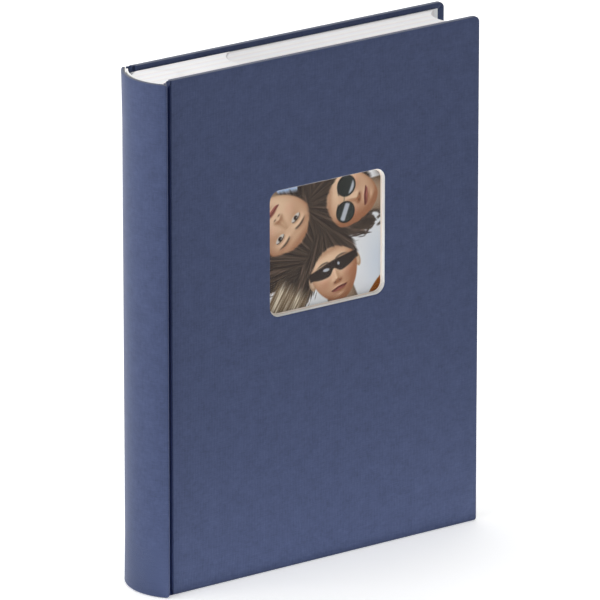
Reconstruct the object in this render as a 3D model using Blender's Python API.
"""Slip-in photo album, standing upright and closed, bound like a book.

A rounded spine case and the glued back of the leaves form the fixed middle. The two cover
boards turn on upright hinge lines in front of and behind the spine, and the endpapers and
leaves turn on hinge lines of their own along the glued back.

World frame: +X from the spine to the fore-edge, -Y is the front cover, +Z up, and the origin
is at the centre of the footprint, on the surface that the album stands on.
"""

import math

import bmesh
import bpy
from mathutils import Vector

# Driving dimensions, in metres
HEIGHT = 0.325            # of the cover boards
BOARD_WIDTH = 0.2264      # of a covered board, joint edge to fore-edge
ALBUM_DEPTH = 0.0397      # between the outer faces of the two covered boards
SPINE_REACH = 0.0148      # from the boards' joint edges back to the roundest part of the spine
SPINE_RADIUS = 0.033      # of the spine's outer face
SPINE_HALF_ANGLE = math.radians(42.0)
LINING_HALF_ANGLE = math.radians(36.5)   # the lining stops short of the joint cloth
SPINE_HEIGHT = 0.3242     # the spine case is a little shorter than the boards
LEAF_COUNT = 40
LEAF_THICKNESS = 0.0005
LEAF_WIDTH = 0.2193       # glued back edge to fore-edge
ROUNDING = 0.010          # how far the middle leaves sit back from the outer ones

# Thicknesses and fits
CLOTH = 0.0003
BOARD = 0.0025
SPINE_CASE = 0.0021       # spine board with cloth on both faces
LINING = 0.0013
FIT = 0.0001              # between a skin and what it is glued to
GAP = 0.0003              # between pieces that only lie beside each other

# Depths below a cover's outer face, which order the layers of a cover and the block inside it
BOARD_FACE = CLOTH + FIT
BOARD_BACK = BOARD_FACE + BOARD
COVER_BACK = BOARD_BACK + FIT + CLOTH
WINDOW_FRAME_FACE, WINDOW_FRAME_BACK = 0.00300, 0.00320
WINDOW_FILM_FACE, WINDOW_FILM_BACK = 0.00325, 0.00335
WINDOW_PRINT_FACE, WINDOW_PRINT_BACK = 0.00340, 0.00352
PASTEDOWN_FACE, PASTEDOWN_BACK = 0.00360, 0.00375
FLYLEAF_FACE, FLYLEAF_BACK = 0.00405, 0.00425
BLOCK_FACE = 0.0045

# Margins and details
SQUARE = 0.0034           # the boards stand out beyond the leaves by this much, top and bottom
PAPER_MARGIN = 0.0042     # from the fore-edge of a board to the edge of its endpaper
PASTEDOWN_START = 0.001   # the endpaper on a board starts this far in front of the joint edge
LINING_TOP_MARGIN, LINING_BOTTOM_MARGIN = 0.0004, 0.001
TURN_IN = 0.015           # how far the cover cloth is folded over a board's inner face
SPINE_TURN_IN = 0.012
SPINE_SIDE_TURN_IN = math.radians(2.5)   # the strip of cloth left along the spine's long edges
CORNER_TOP, CORNER_BOTTOM = 0.0045, 0.0015
JOINT_WALL_X = 0.0039     # the joint cloth's wall stands this far behind the board's joint edge
JOINT_RISE = 0.0013       # and rises this far proud of the board's outer face
JOINT_BED = 0.0029        # depth of the groove's floor below the board's outer face
HINGE_BEHIND, HINGE_PROUD = 0.0015, 0.0018   # a cover's hinge line, seen from the joint edge
GUTTER_START = 0.0050     # the outermost leaves bend this far in front of the joint edge

# Window in the front cover, measured from the joint edge and from the bottom
WINDOW_LEFT, WINDOW_RIGHT = 0.0713, 0.1563
WINDOW_BOTTOM, WINDOW_TOP = 0.1619, 0.2419
WINDOW_CORNER = 0.007
WINDOW_LIP = 0.00125      # the frame shows this much inside the board's cut edge
WINDOW_OVERLAP = 0.005    # the frame and film reach this far behind the board

# Places that follow from the above
FORE_X = (BOARD_WIDTH + SPINE_REACH) / 2
JOINT_X = FORE_X - BOARD_WIDTH
SPINE_CENTRE_X = JOINT_X - SPINE_REACH + SPINE_RADIUS
BLOCK_HALF = ALBUM_DEPTH / 2 - BLOCK_FACE
LEAF_PITCH = (2 * BLOCK_HALF - LEAF_THICKNESS) / (LEAF_COUNT - 1)
ROUNDING_RADIUS = (BLOCK_HALF ** 2 + ROUNDING ** 2) / (2 * ROUNDING)
BLOCK_BACK_X = SPINE_CENTRE_X - (SPINE_RADIUS - SPINE_CASE - GAP - LINING - GAP)

FRONT, BACK = -1, 1
OVERCUT = 0.0005          # how far a cutter runs past the faces that it cuts
ARC_STEPS = 24
NOSE_STEPS = 6
CORNER_STEPS = 6


def clear_scene():
    for obj in list(bpy.data.objects):
        bpy.data.objects.remove(obj)


def new_collection(name):
    collection = bpy.data.collections.new(name)
    bpy.context.scene.collection.children.link(collection)
    return collection


def material(name, colour, roughness, alpha=1.0):
    made = bpy.data.materials.new(name)
    made.use_nodes = True
    shader = made.node_tree.nodes["Principled BSDF"]
    shader.inputs["Base Color"].default_value = (*colour, 1.0)
    shader.inputs["Roughness"].default_value = roughness
    shader.inputs["Metallic"].default_value = 0.0
    shader.inputs["Alpha"].default_value = alpha
    return made


def depth_y(side, depth):
    """The Y of a point at this depth below the outer face of the front or back cover."""
    return side * (ALBUM_DEPTH / 2 - depth)


def pivot(name, x, y):
    """An empty on an upright hinge line, which carries the pieces that turn on it."""
    empty = bpy.data.objects.new(name, None)
    empty.location = (x, y, 0)
    empty.empty_display_size = 0.01
    ALBUM.objects.link(empty)
    return empty


def place(obj, finish, parent=None):
    """Puts a finished piece in the album's collection, under its pivot if it has one."""
    obj.data.materials.clear()
    obj.data.materials.append(finish)
    ALBUM.objects.link(obj)
    if parent:
        obj.location = Vector(obj.location) - parent.location
        obj.parent = parent
    return obj


def as_cutter(obj):
    CUTTERS.objects.link(obj)
    obj.hide_render = True
    obj.display_type = "WIRE"
    return obj


def cut(obj, cutter):
    modifier = obj.modifiers.new(f"cut {cutter.name}", "BOOLEAN")
    modifier.operation = "DIFFERENCE"
    modifier.solver = "EXACT"
    modifier.object = cutter


def card(name, x_span, y_span, z_span, corner=0.0, corner_low=None):
    """An upright card: a box whose fore-edge corners, or all four, are rounded in its plane."""
    low = Vector((min(x_span), min(y_span), min(z_span)))
    high = Vector((max(x_span), max(y_span), max(z_span)))
    bm = bmesh.new()
    bmesh.ops.create_cube(bm, size=1.0)
    bmesh.ops.scale(bm, vec=high - low, verts=bm.verts)
    fore_only = corner_low is not None
    for is_top, radius in ((True, corner), (False, corner_low if fore_only else corner)):
        if radius > 0:
            edges = [e for e in bm.edges if is_corner(e, is_top, fore_only)]
            bmesh.ops.bevel(bm, geom=edges, offset=radius, segments=CORNER_STEPS,
                            profile=0.5, affect="EDGES")
    mesh = bpy.data.meshes.new(name)
    bm.to_mesh(mesh)
    bm.free()
    obj = bpy.data.objects.new(name, mesh)
    obj.location = (low + high) / 2
    return obj


def is_corner(edge, is_top, fore_only):
    """Whether an edge of a centred box runs along Y at its top or bottom, and at its fore-edge."""
    a, b = (v.co for v in edge.verts)
    along_y = abs(a.x - b.x) < 1e-7 and abs(a.z - b.z) < 1e-7
    return along_y and (a.z > 0) == is_top and (a.x > 0 or not fore_only)


def column(name, outline, bottom, top):
    """A flat outline in plan, extruded upright from bottom to top."""
    curve = bpy.data.curves.new(name, "CURVE")
    curve.dimensions = "2D"
    curve.fill_mode = "BOTH"
    curve.extrude = (top - bottom) / 2
    spline = curve.splines.new("POLY")
    spline.points.add(len(outline) - 1)
    for point, (x, y) in zip(spline.points, outline):
        point.co = (x, y, 0, 1)
    spline.use_cyclic_u = True
    guide = bpy.data.objects.new(name + " outline", curve)
    bpy.context.scene.collection.objects.link(guide)
    evaluated = guide.evaluated_get(bpy.context.evaluated_depsgraph_get())
    mesh = bpy.data.meshes.new_from_object(evaluated)
    mesh.name = name
    bpy.data.objects.remove(guide)
    bm = bmesh.new()
    bm.from_mesh(mesh)
    bmesh.ops.remove_doubles(bm, verts=bm.verts, dist=1e-6)
    bmesh.ops.recalc_face_normals(bm, faces=bm.faces)
    bm.to_mesh(mesh)
    bm.free()
    obj = bpy.data.objects.new(name, mesh)
    obj.location = (0, 0, (bottom + top) / 2)
    return obj


def arc(centre_x, centre_y, radius, start, end, steps):
    """Points along an arc, with its angles measured from -X towards +Y."""
    angles = [start + (end - start) * i / steps for i in range(steps + 1)]
    return [(centre_x - radius * math.cos(a), centre_y + radius * math.sin(a)) for a in angles]


def spine_band(inner, outer, half_angle):
    """The plan of a curved strip round the spine's centre, with rounded long edges."""
    middle, nose = (inner + outer) / 2, (outer - inner) / 2
    outline = arc(SPINE_CENTRE_X, 0, outer, -half_angle, half_angle, ARC_STEPS)
    end_x, end_y = arc(SPINE_CENTRE_X, 0, middle, half_angle, half_angle, 1)[0]
    outline += arc(end_x, end_y, nose, half_angle, half_angle + math.pi, NOSE_STEPS)[1:-1]
    outline += arc(SPINE_CENTRE_X, 0, inner, half_angle, -half_angle, ARC_STEPS)
    outline += arc(end_x, -end_y, nose, math.pi - half_angle, 2 * math.pi - half_angle,
                   NOSE_STEPS)[1:-1]
    return outline


def make_spine():
    """The curved spine board in its cloth, and the white card that lines it inside."""
    inner, outer = SPINE_RADIUS - SPINE_CASE, SPINE_RADIUS
    cloth = column("spine_cloth", spine_band(inner, outer, SPINE_HALF_ANGLE), 0, SPINE_HEIGHT)
    room = as_cutter(column("spine_board_room",
                            spine_band(inner + CLOTH, outer - CLOTH, SPINE_HALF_ANGLE),
                            CLOTH, SPINE_HEIGHT - CLOTH))
    opening = as_cutter(column("spine_inner_opening",
                               spine_band(inner - OVERCUT, inner + CLOTH + OVERCUT,
                                          SPINE_HALF_ANGLE - SPINE_SIDE_TURN_IN),
                               SPINE_TURN_IN, SPINE_HEIGHT - SPINE_TURN_IN))
    cut(cloth, room)
    cut(cloth, opening)
    place(cloth, BLUE_CLOTH)
    skin = CLOTH + FIT
    place(column("spine_board", spine_band(inner + skin, outer - skin, SPINE_HALF_ANGLE),
                 skin, SPINE_HEIGHT - skin), GREYBOARD)
    place(column("spine_lining",
                 spine_band(inner - GAP - LINING, inner - GAP, LINING_HALF_ANGLE),
                 LINING_BOTTOM_MARGIN, SPINE_HEIGHT - LINING_TOP_MARGIN), WHITE_CARD)


def rounding_at(y):
    """How far the leaves are set back at this distance from the block's middle plane."""
    return math.sqrt(ROUNDING_RADIUS ** 2 - y ** 2) - (ROUNDING_RADIUS - ROUNDING)


def gutter_x(y):
    """Where the leaves leave the glued back: two slopes that meet at the middle plane."""
    return JOINT_X + GUTTER_START + BLOCK_HALF - abs(y)


def make_gutter():
    """The glued back of the leaves, rounded behind and running out to the hinge lines."""
    half_angle = math.asin(BLOCK_HALF / ROUNDING_RADIUS)
    outline = arc(BLOCK_BACK_X + ROUNDING_RADIUS, 0, ROUNDING_RADIUS, -half_angle, half_angle,
                  ARC_STEPS)
    outline += [(gutter_x(y), y) for y in (BLOCK_HALF, 0, -BLOCK_HALF)]
    place(column("glued_gutter", outline, SQUARE, HEIGHT - SQUARE), LEAF_PAPER)


def make_joint(side, name):
    """The cloth in the groove: a wall beside the spine's edge and a floor up to the board."""
    wall, bed = JOINT_X - JOINT_WALL_X, JOINT_X - GAP
    rise = depth_y(side, -JOINT_RISE)
    floor, under = depth_y(side, JOINT_BED - CLOTH), depth_y(side, JOINT_BED)
    outline = [(wall, rise), (wall + CLOTH, rise), (wall + CLOTH, floor), (bed, floor),
               (bed, under), (wall, under)]
    place(column(name, outline, 0, SPINE_HEIGHT), BLUE_CLOTH)


def make_cover(side, prefix, hinge):
    """A board in its cloth with the cloth's turned-in edges, and its endpaper."""
    board_x = (JOINT_X + BOARD_FACE, FORE_X - BOARD_FACE)
    board_z = (BOARD_FACE, HEIGHT - BOARD_FACE)
    board_y = (depth_y(side, BOARD_FACE), depth_y(side, BOARD_BACK))
    board = card(f"{prefix}_board", board_x, board_y, board_z,
                 CORNER_TOP - BOARD_FACE, CORNER_BOTTOM - BOARD_FACE)
    place(board, GREYBOARD, hinge)

    cloth = card(f"{prefix}_cover_cloth", (JOINT_X, FORE_X),
                 (depth_y(side, 0), depth_y(side, COVER_BACK)), (0, HEIGHT),
                 CORNER_TOP, CORNER_BOTTOM)
    room = as_cutter(card(f"{prefix}_board_room", (JOINT_X + CLOTH, FORE_X - CLOTH),
                          (depth_y(side, CLOTH), depth_y(side, COVER_BACK - CLOTH)),
                          (CLOTH, HEIGHT - CLOTH), CORNER_TOP - CLOTH, CORNER_BOTTOM - CLOTH))
    opening = as_cutter(card(f"{prefix}_inner_opening", (JOINT_X - OVERCUT, FORE_X - TURN_IN),
                             (depth_y(side, BOARD_BACK - OVERCUT),
                              depth_y(side, COVER_BACK + OVERCUT)),
                             (TURN_IN, HEIGHT - TURN_IN)))
    cut(cloth, room)
    cut(cloth, opening)
    place(cloth, BLUE_CLOTH, hinge)

    pastedown = card(f"{prefix}_pastedown", (JOINT_X + PASTEDOWN_START, FORE_X - PAPER_MARGIN),
                     (depth_y(side, PASTEDOWN_FACE), depth_y(side, PASTEDOWN_BACK)),
                     (SQUARE, HEIGHT - SQUARE))
    place(pastedown, ENDPAPER, hinge)
    return board, cloth


def window_card(name, faces, reach, corner):
    """An upright card in the front cover that reaches past the window's edges by reach."""
    x_span = (JOINT_X + WINDOW_LEFT - reach, JOINT_X + WINDOW_RIGHT + reach)
    y_span = (depth_y(FRONT, faces[0]), depth_y(FRONT, faces[1]))
    return card(name, x_span, y_span, (WINDOW_BOTTOM - reach, WINDOW_TOP + reach), corner)


def make_window(board, cloth, hinge):
    """The window cut in the front cover, and the frame, clear film and print behind it."""
    through = as_cutter(window_card("window_hole", (-OVERCUT, BOARD_BACK + OVERCUT), 0,
                                    WINDOW_CORNER))
    cut(board, through)
    cut(cloth, through)
    frame = window_card("window_frame", (WINDOW_FRAME_FACE, WINDOW_FRAME_BACK),
                        WINDOW_OVERLAP, 0.0)
    cut(frame, as_cutter(window_card("window_frame_hole",
                                     (WINDOW_FRAME_FACE - OVERCUT, WINDOW_FRAME_BACK + OVERCUT),
                                     -WINDOW_LIP, WINDOW_CORNER - WINDOW_LIP)))
    place(frame, CREAM_CARD, hinge)
    place(window_card("window_film", (WINDOW_FILM_FACE, WINDOW_FILM_BACK), WINDOW_OVERLAP, 0.0),
          CLEAR_FILM, hinge)
    place(window_card("window_print", (WINDOW_PRINT_FACE, WINDOW_PRINT_BACK),
                      WINDOW_OVERLAP / 2, 0.0), PRINT_PAPER, hinge)


def make_flyleaf(side, name):
    hinge_x = JOINT_X + GUTTER_START
    hinge = pivot(f"{name} hinge", hinge_x, depth_y(side, (FLYLEAF_FACE + FLYLEAF_BACK) / 2))
    place(card(name, (hinge_x, FORE_X - PAPER_MARGIN),
               (depth_y(side, FLYLEAF_FACE), depth_y(side, FLYLEAF_BACK)),
               (SQUARE, HEIGHT - SQUARE)), ENDPAPER, hinge)


def make_leaf(index):
    """One leaf of the block, from its hinge line to its fore-edge."""
    y = -BLOCK_HALF + LEAF_THICKNESS / 2 + index * LEAF_PITCH
    start_x = gutter_x(max(abs(y) - LEAF_THICKNESS / 2, 0)) + GAP
    glued_x = BLOCK_BACK_X + ROUNDING - rounding_at(y)
    hinge = pivot(f"leaf_{index + 1:02d} hinge", start_x, y)
    place(card(f"leaf_{index + 1:02d}", (start_x, glued_x + LEAF_WIDTH),
               (y - LEAF_THICKNESS / 2, y + LEAF_THICKNESS / 2),
               (SQUARE, HEIGHT - SQUARE)), LEAF_PAPER, hinge)


clear_scene()
ALBUM = new_collection("photo album")
CUTTERS = new_collection("cutters")

BLUE_CLOTH = material("blue cover cloth", (0.052, 0.072, 0.135), 0.75)
GREYBOARD = material("grey board", (0.42, 0.40, 0.36), 0.9)
WHITE_CARD = material("white card", (0.86, 0.86, 0.85), 0.8)
CREAM_CARD = material("cream card", (0.72, 0.66, 0.57), 0.8)
ENDPAPER = material("white endpaper", (0.84, 0.84, 0.84), 0.8)
LEAF_PAPER = material("white leaf paper", (0.80, 0.79, 0.77), 0.7)
PRINT_PAPER = material("printed picture", (0.55, 0.45, 0.38), 0.35)
CLEAR_FILM = material("clear film", (0.9, 0.92, 0.95), 0.1, alpha=0.2)

make_spine()
make_gutter()
for cover_side, cover_name in ((FRONT, "front"), (BACK, "back")):
    make_joint(cover_side, f"{cover_name}_joint_cloth")
    cover_hinge = pivot(f"{cover_name} cover hinge", JOINT_X - HINGE_BEHIND,
                        depth_y(cover_side, -HINGE_PROUD))
    cover_board, cover_cloth = make_cover(cover_side, cover_name, cover_hinge)
    if cover_side == FRONT:
        make_window(cover_board, cover_cloth, cover_hinge)
    make_flyleaf(cover_side, f"{cover_name}_flyleaf")
for leaf in range(LEAF_COUNT):
    make_leaf(leaf)
bpy.context.view_layer.update()
